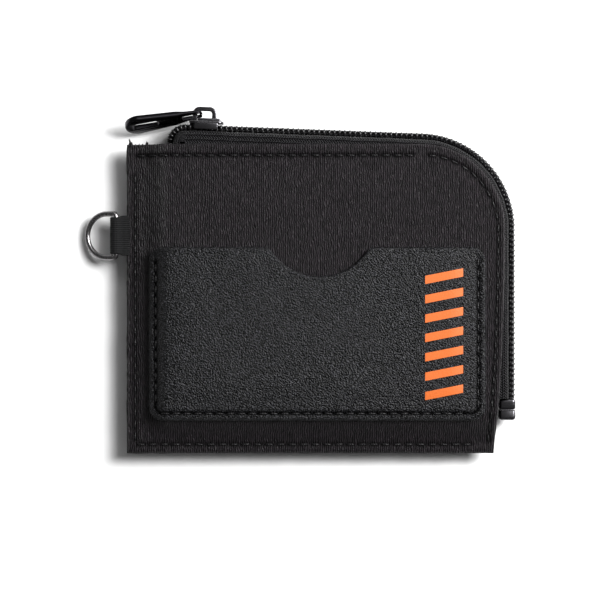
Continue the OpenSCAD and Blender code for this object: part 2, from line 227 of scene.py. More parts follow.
def zip_stitches():
    rows = [(x, PANEL_H - ZIP_INSET_TOP, 0.0) for x in np.arange(4, CORNER_X, STITCH_PITCH)]
    mean_r = CORNER_R - (ZIP_INSET_TOP + ZIP_INSET_SIDE) / 2
    count = round(mean_r * math.pi / 2 / STITCH_PITCH)
    for k in range(1, count):
        a = math.pi / 2 * (1 - k / count)
        r = CORNER_R - ZIP_INSET_SIDE - (ZIP_INSET_TOP - ZIP_INSET_SIDE) * a / (math.pi / 2)
        rows.append((CORNER_X + r * math.cos(a), CORNER_Y + r * math.sin(a), a - math.pi / 2))
    rows += [(right_edge(y) - ZIP_INSET_SIDE, y, -math.pi / 2) for y in np.arange(CORNER_Y, 4, -STITCH_PITCH)]
    return rows


def seam_stitches():
    rows = [(LEFT_INSET, y, math.pi / 2) for y in np.arange(5, PANEL_H - 7, STITCH_PITCH)]
    return rows + [(x, BOTTOM_INSET, 0.0) for x in np.arange(4, PANEL_W - 8, STITCH_PITCH)]


def pocket_stitches():
    x0, x1 = POCKET_LOW[0], POCKET_HIGH[0]
    y0, y1 = POCKET_LOW[1], POCKET_HIGH[1]
    turn = POCKET_R + 0.6
    rows = [(x0 + POCKET_INSET, y, math.pi / 2) for y in np.arange(y1 - 6, y0 + turn, -POCKET_PITCH)]
    rows += [(x, y0 + POCKET_INSET, 0.0) for x in np.arange(x0 + turn, x1 - turn, POCKET_PITCH)]
    return rows + [(x1 - POCKET_INSET, y, math.pi / 2) for y in np.arange(y0 + turn, y1 - 4, POCKET_PITCH)]


def pull_of(rows, x, y, depth, hole):
    """How far stitches draw a surface in: a trough along each stitch, and a deeper dent at its two holes."""
    sunk = np.zeros(np.shape(x))
    for sx, sy, h in rows:
        near = (np.abs(x - sx) < 4) & (np.abs(y - sy) < 4)
        if not near.any():
            continue
        dx, dy = x[near] - sx, y[near] - sy
        along = dx * math.cos(h) + dy * math.sin(h)
        across = -dx * math.sin(h) + dy * math.cos(h)
        trough = depth * bump_at(across, 0.75) * bump_at(along, 1.6)
        dents = hole * sum(bump_at(across, 0.5) * bump_at(along - e * STITCH_L / 2, 0.45) for e in (-1, 1))
        sunk[near] = np.maximum(sunk[near], trough + dents)
    return sunk


# ---- Meshes ----


def mesh_piece(name, points, faces, material, smooth=True, uv=None, recess=None):
    """A piece from layout points in millimetres and faces, with its place in its mesh.

    uv is in millimetres of cloth, and recess marks the sewn channels, whose colour and shine the materials
    darken as painted shade.
    """
    mesh = bpy.data.meshes.new(name)
    mesh.from_pydata(place(points).tolist(), [], faces)
    if uv is not None:
        layer = mesh.uv_layers.new(name="cloth")
        index = np.empty(len(mesh.loops), np.int32)
        mesh.loops.foreach_get("vertex_index", index)
        layer.data.foreach_set("uv", np.asarray(uv, float)[index].ravel())
    if recess is not None:
        channel = mesh.attributes.new("recess", "FLOAT", "POINT")
        channel.data.foreach_set("value", np.asarray(recess, np.float32))
    mesh.validate()
    piece = bpy.data.objects.new(name, mesh)
    bpy.context.scene.collection.objects.link(piece)
    if smooth:
        mesh.polygons.foreach_set("use_smooth", np.ones(len(mesh.polygons), bool))
    mesh.materials.append(material)
    return piece


def finish_piece(piece, body, slot_name, *nodes):
    """A finished piece rides on its body and stands for the CAD nodes given; slot_name is not used."""
    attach(piece, body)
    if nodes:
        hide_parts(*nodes)
    return piece


def sheet_faces(rows, cols):
    """Faces of a closed sheet whose upper grid comes first and lower grid second."""
    total = rows * cols
    grid = np.arange(total).reshape(rows, cols)
    a, b, c, d = grid[:-1, :-1], grid[:-1, 1:], grid[1:, 1:], grid[1:, :-1]
    upper = np.stack([a, b, c, d], -1).reshape(-1, 4)
    lower = np.stack([a, d, c, b], -1).reshape(-1, 4) + total
    rim = np.concatenate([grid[0, :-1], grid[:-1, -1], grid[-1, :0:-1], grid[:0:-1, 0]])
    ahead = np.roll(rim, -1)
    wall = np.stack([rim, rim + total, ahead + total, ahead], -1)
    return np.concatenate([upper, lower, wall]).tolist()


def sheet_piece(name, x, y, upper, lower, material, flip=False, recess=None):
    """A closed sheet from grids of x, y, upper and lower heights; flip makes the back leaf's mirror image."""
    high = np.stack([x, y, upper], -1).reshape(-1, 3)
    low = np.stack([x, y, lower], -1).reshape(-1, 3)
    points = np.concatenate([high, low])
    faces = sheet_faces(*x.shape)
    if flip:
        points[:, 2] *= -1
        faces = [f[::-1] for f in faces]
    if recess is not None:
        recess = np.tile(recess.ravel(), 2)
    return mesh_piece(name, points, faces, material, recess=recess)


def leaf_grid(step, hem, trim):
    """Grids of x and y over a leaf, cut back by hem at the sewn edges and by trim at the zipped ones."""
    straight = np.linspace(hem, CORNER_Y, round((CORNER_Y - hem) / step) + 1)
    radius = CORNER_R - trim
    angle = np.linspace(0, math.pi / 2, round(radius * math.pi / 2 / step) + 1)[1:]
    y = np.concatenate([straight, CORNER_Y + radius * np.sin(angle)])
    right = np.concatenate([right_edge(straight) - trim, CORNER_X + radius * np.cos(angle)])
    u = np.linspace(0, 1, round((PANEL_W - hem) / step) + 1)
    return hem + u[None, :] * (right - hem)[:, None], np.repeat(y[:, None], len(u), 1)


def edge_distance(x, y, hem=0.0):
    """Distance from the nearest edge of a leaf."""
    side = np.minimum(right_edge(y) - x, np.minimum(x - hem, y - hem))
    corner = CORNER_R - np.hypot(x - CORNER_X, y - CORNER_Y)
    inside = (x > CORNER_X) & (y > CORNER_Y)
    return np.where(inside, corner, np.minimum(side, PANEL_H - y))


def shell(name, material, step, back=False):
    """The outer cloth of one leaf: swollen, drawn in by its stitches and turned over at its edges."""
    x, y = leaf_grid(step, 0, 0)
    seed = 7.0 if back else 3.0
    stitched = pull_of(zip_stitches(), x, y, 0.26, 0.4) + pull_of(seam_stitches(), x, y, 0.2, 0.36)
    # sewn marks the stitch channels, where the nylon's colour and shine are darkened as painted shade.
    sewn = np.minimum(1, pull_of(zip_stitches() + seam_stitches(), x, y, 1.15, 0.3))
    edge = edge_distance(x, y)
    puff = 0.16 * ease(edge / 6) * (noise_at(x, y, 17, 24, seed) + 0.5 * noise_at(x, y, 6, 9, seed + 2))
    ripple = 0.05 * noise_at(x, y, 1.1, 7, seed + 5)
    turned = 0.42 * np.clip(1 - edge / 0.9, 0, 1) ** 2
    if back:
        puff = np.minimum(puff, 0)
        ripple = np.minimum(ripple, 0)
    upper = face(x, y) - stitched + puff + ripple - turned
    lower = face(x, y) - SHELL_T - stitched * 0.25
    lower = np.minimum(lower, upper - 0.2)
    wobble = noise_at(x * 0, y, 1, 9, seed + 9) * 0.4 + noise_at(x * 0, y, 1, 2.2, seed + 11) * 0.14
    rag = noise_at(x, y * 0, 7, 1, seed + 13) * 0.3
    x = x + wobble * np.exp(-x / 4)
    y = y + rag * np.exp(-y / 4)
    return sheet_piece(name, x, y, upper, lower, material, back, sewn)


def lining(name, material, back=False):
    x, y = leaf_grid(1.4, 0, LINING_TRIM)
    top = face(x, y) - SHELL_T - FOAM_T * padding(x) * padding(y)
    sag = 0.12 * noise_at(x, y, 14, 14, 21) * swell(x) * swell(y)
    return sheet_piece(name, x, y, top - 0.02, top - LINING_T + np.minimum(sag, 0), material, back)


def foam(name, material, back=False):
    x, y = leaf_grid(2.0, FOAM_HEM, FOAM_TRIM)
    top = face(x, y) - SHELL_T
    under = top - FOAM_T * padding(x) * padding(y) + LAYER_GAP
    return sheet_piece(name, x, y, top - LAYER_GAP, under, material, back)


# ---- Card pocket ----

LEATHER_T = 1.0
CARD_GAP = 0.9
NOTCH_R = 16.5
NOTCH_D = 8.4
NOTCH_SOFT = 1.2
NOTCH_SHIFT = 0.75
POCKET_MID = (POCKET_LOW[0] + POCKET_HIGH[0]) / 2 + NOTCH_SHIFT
POCKET_HEM = 2.6
POCKET_RISE = 8


def pocket_edge(x):
    d = np.abs(x - POCKET_MID)
    arc = POCKET_HIGH[1] - NOTCH_D + NOTCH_R - np.sqrt(np.maximum(NOTCH_R**2 - d**2, 0))
    soft = (arc + POCKET_HIGH[1] - np.sqrt((arc - POCKET_HIGH[1]) ** 2 + NOTCH_SOFT**2)) / 2
    return np.where(d < NOTCH_R, soft, POCKET_HIGH[1])


def corner_cut(x):
    d = np.minimum(x - POCKET_LOW[0], POCKET_HIGH[0] - x)
    cut = POCKET_R - np.sqrt(np.maximum(POCKET_R**2 - (POCKET_R - np.minimum(d, POCKET_R)) ** 2, 0))
    return np.where(d < POCKET_R, cut, 0)


def pocket_under(x, y):
    x0, y0, x1 = POCKET_LOW[0], POCKET_LOW[1], POCKET_HIGH[0]
    sides = ease((x - x0 - POCKET_HEM) / POCKET_RISE) * ease((x1 - POCKET_HEM - x) / POCKET_RISE)
    lift = sides * ease((y - y0 - POCKET_HEM) / POCKET_RISE)
    return face(x, y) + LAYER_GAP + CARD_GAP * (0.15 + 0.55 * lift)


def rim_of_seam(x, y):
    """Distance in from the pocket's sewn edges, with its lower corners rounded."""
    dx = np.minimum(x - POCKET_LOW[0], POCKET_HIGH[0] - x)
    dy = y - POCKET_LOW[1]
    corner = POCKET_R - np.hypot(np.maximum(POCKET_R - dx, 0), np.maximum(POCKET_R - dy, 0))
    return np.where((dx < POCKET_R) & (dy < POCKET_R), corner, np.minimum(dx, dy))


def pocket_over(x, y):
    """The leather's outer face: drawn in by its stitches, with a pressed line inside its sewn edges."""
    rim = rim_of_seam(x, y)
    groove = 0.34 * bump_at(rim - POCKET_INSET, 0.65) + 0.06 * bump_at(rim - 1.0, 0.22)
    lively = 0.12 * noise_at(x, y, 19, 15, 33.0) * ease(rim / 9)
    return pocket_under(x, y) + LEATHER_T - groove * (y < POCKET_HIGH[1] - 2) - pocket_pull(x, y) + lively


def pocket_pull(x, y):
    return pull_of(pocket_stitches(), x, y, 0.2, 0.34)


def make_pocket(material):
    step = 0.45
    turn = np.linspace(0, math.pi / 2, 12)
    x0, x1 = POCKET_LOW[0], POCKET_HIGH[0]
    middle = np.linspace(x0 + POCKET_R, x1 - POCKET_R, round((x1 - x0 - 2 * POCKET_R) / step))
    round_in = POCKET_R * (1 - np.cos(turn[:-1]))
    across = np.concatenate([x0 + round_in, middle, x1 - round_in[::-1]])
    levels = np.linspace(0, 1, round((POCKET_HIGH[1] - POCKET_LOW[1]) / step))
    levels = levels - 0.03 * np.sin(2 * np.pi * levels) / np.pi
    low = POCKET_LOW[1] + corner_cut(across)
    high = pocket_edge(across) - corner_cut(across)
    x = np.repeat(across[None, :], len(levels), 0)
    y = low + (high - low) * levels[:, None]
    rim = np.minimum(np.minimum(x - x0, x1 - x), np.minimum(y - POCKET_LOW[1], pocket_edge(x) - y))
    top_rim = pocket_edge(x) - y
    turned = 0.55 * np.clip(1 - rim / 0.6, 0, 1) ** 2
    folded = 0.12 * bump_at(top_rim - 1.6, 0.3)
    upper = pocket_over(x, y) - turned - folded
    lower = pocket_under(x, y) + 0.12 * np.clip(1 - rim / 0.75, 0, 1)
    # sewn marks the pocket's stitch channels, where the leather's colour and shine are darkened as painted
    # shade.
    sewn = np.minimum(1, 1.2 * bump_at(rim_of_seam(x, y) - POCKET_INSET, 0.5)) * (y < POCKET_HIGH[1] - 3.5)
    lower = np.minimum(lower, upper - 0.3)
    return sheet_piece("card_pocket_leather", x, y, upper, lower, material, recess=sewn)


BAR_COUNT = 7
BAR_PITCH = 5.6
BAR_H = 2.4
BAR_SLANT = 2.2
BAR_L = 11.0
BARS_IN = 17.6
PRINT_HALF = 0.05


def make_bars(material):
    """Plain slanted bars printed on the pocket near its right edge."""
    points, faces = [], []
    left = POCKET_HIGH[0] - BARS_IN
    tall = BAR_PITCH * (BAR_COUNT - 1) + BAR_H + BAR_SLANT
    bottom = (POCKET_LOW[1] + POCKET_HIGH[1]) / 2 - tall / 2
    u, v = np.meshgrid(np.linspace(0, 1, 23), np.linspace(0, 1, 7))
    for k in range(BAR_COUNT):
        x = left + BAR_L * u
        y = bottom + k * BAR_PITCH + BAR_SLANT * u + BAR_H * v
        top = pocket_over(x, y)
        grids = [np.stack([x, y, top + rise], -1) for rise in (PRINT_HALF, -PRINT_HALF)]
        start = len(points)
        points += [p for g in grids for p in g.reshape(-1, 3)]
        faces += [[i + start for i in f] for f in sheet_faces(*x.shape)]
    return mesh_piece("accent_bars", points, faces, material, smooth=False)


# ---- Stitches ----

SLOPE_STEP = 0.4


def thread_shape():
    """Rings of one sewn stitch: a plump twisted thread that dives into its two holes."""
    rings = []
    for t in np.linspace(-1, 1, 7):
        r = 0.25 * math.sqrt(max(1 - abs(t) ** 3.2, 0.06))
        sink = -0.22 * abs(t) ** 3
        angle = np.arange(6) * math.pi / 3 + t * 0.9
        along = np.full(6, t * STITCH_L / 2)
        rings.append(np.stack([along, r * np.cos(angle), sink + 0.72 * r * np.sin(angle)], 1))
    return np.concatenate(rings)


def stitches(name, rows, cover, lift, material, faces_up=(1,)):
    """Copies of the stitch along rows, on the leaf's front face for 1 and its mirror image for -1."""
    shape = thread_shape()
    count = len(shape)
    ring_faces = [
        [6 * k + m, 6 * k + (m + 1) % 6, 6 * k + 6 + (m + 1) % 6, 6 * k + 6 + m]
        for k in range(6) for m in range(6)
    ]
    ring_faces += [[5, 4, 3, 2, 1, 0], [count - 6 + m for m in range(6)]]
    points, faces = [], []
    for side in faces_up:
        for k, (x, y, h) in enumerate(rows):
            skew = 0.05 * math.sin(k * 2.4) + 0.04 * math.sin(k * 5.1)
            along = np.array([math.cos(h + skew), math.sin(h + skew)])
            across = np.array([-along[1], along[0]])
            flat = shape[:, :1] * along + shape[:, 1:2] * across + np.array([x, y])
            base = cover(np.array([x]), np.array([y]))[0]
            rise = [
                cover(np.array([x + SLOPE_STEP * d[0]]), np.array([y + SLOPE_STEP * d[1]]))[0] - base
                for d in (along, across)
            ]
            z = base + lift + shape[:, 2] + (shape[:, 0] * rise[0] + shape[:, 1] * rise[1]) / SLOPE_STEP
            start = len(points)
            points += np.column_stack([flat, side * z]).tolist()
            faces += [[start + i for i in (f if side > 0 else f[::-1])] for f in ring_faces]
    return mesh_piece(name, points, faces, material)


# ---- Zip tapes and coils ----

TAPE_GAP = 0.35
WALL_Z = 3.0
TAPE_TOP = HALF_T - SHELL_T - 0.1
BEND_R = TAPE_TOP - WALL_Z
BEND_IN = COIL_H + BEND_R
TAPE_IN = 8.5
SPLIT = (SLIDER_X + TRAVEL * math.cos(TILT) - TAIL_X) / math.cos(TILT)


def tape_section(leg):
    """Depth below the crest and height of the tape's outer line and its inner one."""
    turn = np.linspace(0, math.pi / 2, 9)
    wall = np.linspace(TAPE_GAP, WALL_Z, 7)[:-1]
    far = np.linspace(0, leg, 9)[1:]
    outer = [np.full(6, COIL_H), BEND_IN - BEND_R * np.cos(turn), BEND_IN + far]
    outer_z = [wall, WALL_Z + BEND_R * np.sin(turn), np.full(8, TAPE_TOP)]
    inner_r = BEND_R - TAPE_T
    inner = [np.full(6, COIL_H + TAPE_T), BEND_IN - inner_r * np.cos(turn), BEND_IN + far]
    inner_z = [wall, WALL_Z + inner_r * np.sin(turn), np.full(8, TAPE_TOP - TAPE_T)]
    lines = ((outer, outer_z), (inner, inner_z))
    return [np.stack([np.concatenate(depth), np.concatenate(height)], 1) for depth, height in lines]


def tape(name, s0, s1, side, material):
    """One tape of the zip from s0 to s1, with the length and width of its cloth in its UV map."""
    count = max(2, round((s1 - s0) / 0.9))
    stations = np.linspace(s0, s1, count)
    middle, out = crest(stations)
    legs = np.interp(stations, [-TAIL_BEND, 0.0], [0.5, TAPE_IN])
    upper, lower, uv = [], [], []
    for s, p, n, leg in zip(stations, middle, out, legs):
        outer, inner = tape_section(leg)
        wave = 0.05 * math.sin(s * 0.9 + side) + 0.04 * math.sin(s * 0.37 + 2 * side)
        for line, store in ((outer, upper), (inner, lower)):
            depth = line[:, :1] + wave * (line[:, 1:] > 2)
            store.append(np.column_stack([p - depth * n, side * (line[:, 1] - abs(wave) * 0.6)]))
        step = np.hypot(*np.diff(outer, axis=0).T)
        uv.append(np.stack([np.full(len(outer), s), np.concatenate([[0], np.cumsum(step)])], 1))
    upper, lower, uv = (np.concatenate(a) for a in (upper, lower, uv))
    faces = sheet_faces(count, 23)
    if side < 0:
        faces = [f[::-1] for f in faces]
    piece = mesh_piece(name, np.concatenate([upper, lower]), faces, material, uv=np.concatenate([uv, uv]))
    piece.data.set_sharp_from_angle(angle=math.radians(50))
    return piece


def tube(points, radius, sides=8, sink=None):
    """Points and faces of a closed tube along a line."""
    points = np.asarray(points, float)
    along = np.gradient(points, axis=0)
    along /= np.linalg.norm(along, axis=1)[:, None]
    radius = np.broadcast_to(np.asarray(radius, float), len(points))
    first = np.cross(along[0], [0.3, 0.5, 0.8])
    normals = [first / np.linalg.norm(first)]
    for t in along[1:]:
        n = normals[-1] - t * np.dot(normals[-1], t)
        normals.append(n / np.linalg.norm(n))
    normals = np.array(normals)
    other = np.cross(along, normals)
    angle = np.arange(sides) * 2 * math.pi / sides
    ring = normals[:, None] * np.cos(angle)[None, :, None] + other[:, None] * np.sin(angle)[None, :, None]
    mesh = (points[:, None] + ring * radius[:, None, None]).reshape(-1, 3)
    a = np.arange(len(points) - 1)[:, None] * sides
    m = np.arange(sides)[None]
    nxt = (m + 1) % sides
    faces = np.stack([a + m, a + nxt, a + sides + nxt, a + sides + m], -1).reshape(-1, 4).tolist()
    last = (len(points) - 1) * sides
    return mesh, faces + [list(range(sides))[::-1], [last + k for k in range(sides)]]


WIRE_R = 0.36
LOOP_SIDES = 16


def coil(name, s0, s1, side, shift, material):
    """Half of the zip's coil: a nylon helix whose legs lie on the tape and whose heads meet the other's."""
    first = -TAIL_BEND - 0.6 + shift
    turns = [k for k in range(400) if s0 <= first + k * COIL_PITCH < s1]
    t = np.linspace(turns[0], turns[-1] + 1, (turns[-1] + 1 - turns[0]) * LOOP_SIDES + 1)
    t = t[t * COIL_PITCH + first < ZIP_RUN + 1.5]
    angle = 2 * math.pi * t
    square = 0.55
    c, q = np.cos(angle), np.sin(angle)
    depth = COIL_H / 2 - 0.02 + (COIL_H / 2 - WIRE_R) * np.sign(c) * np.abs(c) ** square
    low, high = -0.1, COIL_HALF - WIRE_R
    height = (low + high) / 2 + (high - low) / 2 * np.sign(q) * np.abs(q) ** square
    lead = 0.5 - 0.5 * np.cos(np.pi * np.clip((np.mod(t, 1) - 0.5) * 2, 0, 1))
    middle, out = crest(first + (np.floor(t) + lead) * COIL_PITCH)
    head = 1 + 0.12 * np.clip(-q, 0, 1)
    line = np.column_stack([middle - depth[:, None] * out, side * height])
    points, faces = tube(line, WIRE_R * head)
    return mesh_piece(name, points, faces, material)


# ---- Rigid pieces, modelled with curves and mesh tools ----


def only(obj):
    bpy.ops.object.select_all(action="DESELECT")
    obj.select_set(True)
    bpy.context.view_layer.objects.active = obj


def keep_modifiers(obj):
    only(obj)
    for m in list(obj.modifiers):
        bpy.ops.object.modifier_apply(modifier=m.name)


def to_mesh(obj):
    only(obj)
    bpy.ops.object.convert(target="MESH")
    bpy.ops.object.mode_set(mode="EDIT")
    bpy.ops.mesh.select_all(action="SELECT")
    bpy.ops.mesh.remove_doubles(threshold=1e-7)
    bpy.ops.mesh.normals_make_consistent(inside=False)
    bpy.ops.object.mode_set(mode="OBJECT")
    return obj


def curve_of(name, kind, lines, cyclic=True):
    curve = bpy.data.curves.new(name, "CURVE")
    curve.dimensions = kind
    for line in lines:
        spline = curve.splines.new("POLY")
        spline.points.add(len(line) - 1)
        spline.use_cyclic_u = cyclic
        for point, at in zip(spline.points, line):
            point.co = [c * MM for c in (list(at) + [0, 0])[:3]] + [1]
    obj = bpy.data.objects.new(name, curve)
    bpy.context.scene.collection.objects.link(obj)
    return obj


def plate(name, outlines, thickness, bevel):
    """A plate with rounded edges, cut to its outlines in X and Y and centred on Z."""
    obj = curve_of(name, "2D", outlines)
    obj.data.fill_mode = "BOTH"
    obj.data.extrude = (thickness / 2 - bevel) * MM
    obj.data.bevel_depth = bevel * MM
    obj.data.bevel_resolution = 3
    obj.data.offset = -bevel * MM
    return to_mesh(obj)


def block(name, low, high, bevel):
    """A box between two corners with its edges rounded."""
    low, high = np.array(low, float), np.array(high, float)
    middle, span = (low + high) / 2 * MM, (high - low) * MM
    bpy.ops.mesh.primitive_cube_add(size=1, location=Vector(middle), scale=Vector(span))
    obj = bpy.context.object
    obj.name = name
    only(obj)
    bpy.ops.object.transform_apply(location=True, rotation=True, scale=True)
    if bevel:
        m = obj.modifiers.new("rounding", "BEVEL")
        m.width = bevel * MM
        m.segments = 3
        keep_modifiers(obj)
    return obj


def cut(obj, tool):
    m = obj.modifiers.new("cut", "BOOLEAN")
    m.operation = "DIFFERENCE"
    m.solver = "EXACT"
    m.object = tool
    keep_modifiers(obj)
    bpy.data.objects.remove(tool)
    return obj


def joined(name, objects):
    bpy.ops.object.select_all(action="DESELECT")
    for o in objects:
        o.select_set(True)
    bpy.context.view_layer.objects.active = objects[0]
    bpy.ops.object.join()
    objects[0].name = name
    return objects[0]


def settle(obj, matrix, material, angle=35):
    """Puts a rigid piece in place, with its place in its mesh, and shades it."""
    obj.data.transform(matrix)
    obj.matrix_world = Matrix()
    obj.data.materials.clear()
    obj.data.materials.append(material)
    only(obj)
    bpy.ops.object.shade_smooth_by_angle(angle=math.radians(angle))
    return obj


def arc_line(cx, cy, r, a0, a1, count=12):
    return [(cx + r * math.cos(a), cy + r * math.sin(a)) for a in np.radians(np.linspace(a0, a1, count))]


def rounded_box(x0, y0, x1, y1, r):
    spots = [(x1 - r, y1 - r, 0), (x0 + r, y1 - r, 90), (x0 + r, y0 + r, 180), (x1 - r, y0 + r, 270)]
    return [p for cx, cy, a in spots for p in arc_line(cx, cy, r, a, a + 90, 9)]


def teardrop(x0, r0, x1, r1):
    """Outline of two circles on X and the two lines that touch both."""
    lean = math.degrees(math.asin((r1 - r0) / (x1 - x0)))
    side = 90 + lean
    dense = np.linspace(0, 1, 24)[1:-1]
    big = arc_line(x1, 0, r1, -side, side, 49)
    small = arc_line(x0, 0, r0, side, 360 - side, 33)
    over = [tuple(np.array(big[-1]) * (1 - t) + np.array(small[0]) * t) for t in dense]
    under = [tuple(np.array(small[-1]) * (1 - t) + np.array(big[0]) * t) for t in dense]
    return big + over + small + under


def shift(x, y, z):
    return Matrix.Translation(Vector((x, y, z)) * MM)


HOME = Matrix.Translation(Vector(ORIGIN) * MM)
ON_SLIDER = HOME @ shift(SLIDER_X, crest_line_y(SLIDER_X), 0) @ Matrix.Rotation(-TILT, 4, "Z")
FACE_UP = Matrix.Rotation(math.radians(-90), 4, "X")  # a plate's own Z becomes the slider's outward Y

CHANNEL_HALF = COIL_HALF + 0.25
SLIDER_HALF = CHANNEL_HALF + 0.75
PLATE_LOW = 0.2
PLATE_TOP = 1.05
FLANGE_LOW = 0.6 - COIL_H
KEEL_TOP = -COIL_H - TAPE_T - 1.05
KEEL_T = 1.0
FLANGE_HALF = 0.375
FLANGE_IN = 1.6
BRIDGE_L = 6.9
BRIDGE_TOP = 5.3
BRIDGE_WIRE = 1.3
BRIDGE_W = 1.2
BRIDGE_MID = -0.65
BRIDGE_SEAT = 2.8


def slider_outline(half, r, waist):
    """The plate of a slider: wide shoulders where the tapes part, a slight waist, and a narrower tail."""
    end = SLIDER_L / 2
    back = arc_line(-end + r, half - r, r, 180, 90, 9)
    front = arc_line(end - r, half - waist - r, r, 90, 0, 9)
    upper = back + [(-end + 3.2, half - waist * 0.35), (0, half - waist)] + front
    return upper + [(x, -y) for x, y in upper[::-1]]


def make_slider(material):
    top = plate("slider_body_plated", [slider_outline(SLIDER_HALF, 1.6, 0.3)], PLATE_TOP - PLATE_LOW, 0.26)
    top.data.transform(shift(0, (PLATE_LOW + PLATE_TOP) / 2, 0) @ FACE_UP)
    keel = plate("keel", [slider_outline(CHANNEL_HALF + 0.25, 1.2, 0.25)], KEEL_T, 0.26)
    keel.data.transform(shift(0, KEEL_TOP - KEEL_T / 2, 0) @ FACE_UP)
    ends = (-SLIDER_L / 2 + FLANGE_IN, SLIDER_L / 2 - FLANGE_IN)
    flanges = [
        block(
            "flange", (ends[0], FLANGE_LOW, z - FLANGE_HALF), (ends[1], PLATE_LOW + 0.3, z + FLANGE_HALF), 0.2
        )
        for z in (-(CHANNEL_HALF + SLIDER_HALF) / 2 + 0.05, (CHANNEL_HALF + SLIDER_HALF) / 2 - 0.05)
    ]
    nose = -SLIDER_L / 2 + 0.2
    post = block("post", (nose, KEEL_TOP - 0.3, -0.2), (nose + 1.6, PLATE_LOW + 0.3, 0.2), 0.06)
    seats = [
        block("bridge_seat", (x - 0.75, PLATE_TOP - 0.3, -1.0), (x + 0.75, PLATE_TOP + 0.22, 1.0), 0.2)
        for x in (BRIDGE_MID - BRIDGE_SEAT, BRIDGE_MID + BRIDGE_SEAT)
    ]
    seats.append(block("saddle", (-2.6, PLATE_TOP - 0.3, -2.3), (4.1, PLATE_TOP + 0.85, 2.3), 0.4))
    return settle(joined("slider_body_plated", [top, keel, post] + flanges + seats), ON_SLIDER, material)


def make_bridge(material):
    """The strap that carries the pull tab: an arch of flat wire with its feet swaged into the slider."""
    foot, reach, r = PLATE_TOP - 0.2, 2, 0.8
    left, right = BRIDGE_MID - BRIDGE_L / 2, BRIDGE_MID + BRIDGE_L / 2
    outer = [(right, foot)] + arc_line(right - reach, BRIDGE_TOP - reach, reach, 0, 90, 12)
    outer += arc_line(left + reach, BRIDGE_TOP - reach, reach, 90, 180, 12) + [(left, foot)]
    half, top = (BRIDGE_L - 2 * BRIDGE_WIRE) / 2, BRIDGE_TOP - BRIDGE_WIRE
    inner = [(BRIDGE_MID - half, foot)] + arc_line(BRIDGE_MID - half + r, top - r, r, 180, 90, 10)
    inner += arc_line(BRIDGE_MID + half - r, top - r, r, 90, 0, 10) + [(BRIDGE_MID + half, foot)]
    strap = plate("slider_bridge_plated", [outer + inner], BRIDGE_W, 0.3)
    return settle(strap, ON_SLIDER, material)


PULL_L = 22.5
PULL_W = 8.0
PULL_T = 1.8
EYE_HALF = 1.95
EYE_GAP = 1.1
EYE_L = 5.7
EYE_T = 1.0
SLOT_HALF = 1.5
SLOT_END = 1.9
SLOT_L = 8.2
CROSSBAR_R = 0.45
PIVOT = (-1.7, 3.2)
PULL_DROOP = math.radians(9.7)
PULL_ROLL = math.radians(26)


def make_pull(material):
    """The pull tab: a drop-shaped plate with a slot, thinned to a fork that holds the crossbar."""
    outline = teardrop(EYE_HALF - 0.55, EYE_HALF, PULL_L - PULL_W / 2, PULL_W / 2)
    body = plate("pull_tab_enamelled", [outline], PULL_T, 0.42)
    for v in body.data.vertices:
        u = v.co.x / MM
        v.co.z *= EYE_T / PULL_T + (1 - EYE_T / PULL_T) * float(ease((u - 4.6) / 3.2))
    slot_x = (PULL_L - SLOT_END - SLOT_L, PULL_L - SLOT_END)
    cut(body, plate("slot_cutter", [rounded_box(slot_x[0], -SLOT_HALF, slot_x[1], SLOT_HALF, 1.49)], 3, 0.01))
    cut(body, plate("eye_cutter", [rounded_box(-3, -EYE_GAP, EYE_L, EYE_GAP, 0.6)], 3, 0.01))
    edge = body.modifiers.new("worn_edges", "BEVEL")
    edge.width = 0.16 * MM
    edge.segments = 3
    edge.limit_method = "ANGLE"
    edge.angle_limit = math.radians(55)
    keep_modifiers(body)
    turn = Matrix.Rotation(math.pi + PULL_DROOP + TILT, 4, "Z")
    roll = Matrix.Rotation(PULL_ROLL, 4, "X")
    stand = Matrix.Rotation(math.radians(90), 4, "X")
    body.data.transform(turn @ roll @ stand)
    bar_l = 2 * EYE_HALF * math.cos(PULL_ROLL) * MM
    bpy.ops.mesh.primitive_cylinder_add(vertices=24, radius=CROSSBAR_R * MM, depth=bar_l)
    bar = bpy.context.object
    whole = joined("pull_tab_enamelled", [body, bar])
    return settle(whole, ON_SLIDER @ shift(PIVOT[0], PIVOT[1], 0), material)


RING_WIRE = 1.6
RING_HALF = 6.4
RING_REACH = 9.5
RING_Y = float((RING_LOW[1] + RING_HIGH[1]) / 2)
BAR_OUT = -float(RING_HIGH[0]) + RING_WIRE / 2
RING_DROOP = math.radians(25)


def make_ring(material):
    """The D-ring: round wire bent into a straight bar, two short legs and a bow."""
    leg = RING_REACH - RING_HALF
    bend = 0.9
    line = [(0, y, 0) for y in np.linspace(-RING_HALF + bend, RING_HALF - bend, 14)]
    line += [(x, y, 0) for x, y in arc_line(-bend, RING_HALF - bend, bend, 0, 90, 7)[1:]]
    line += [(x, y, 0) for x, y in arc_line(-leg, 0, RING_HALF, 90, 270, 49)]
    line += [(x, y, 0) for x, y in arc_line(-bend, -RING_HALF + bend, bend, 270, 360, 7)[:-1]]
    ring = curve_of("d_ring_wire", "3D", [line])
    ring.data.bevel_depth = RING_WIRE / 2 * MM
    ring.data.bevel_resolution = 6
    to_mesh(ring)
    place_at = HOME @ shift(-BAR_OUT, RING_Y, 0) @ Matrix.Rotation(-RING_DROOP, 4, "Y")
    return settle(ring, place_at, material)


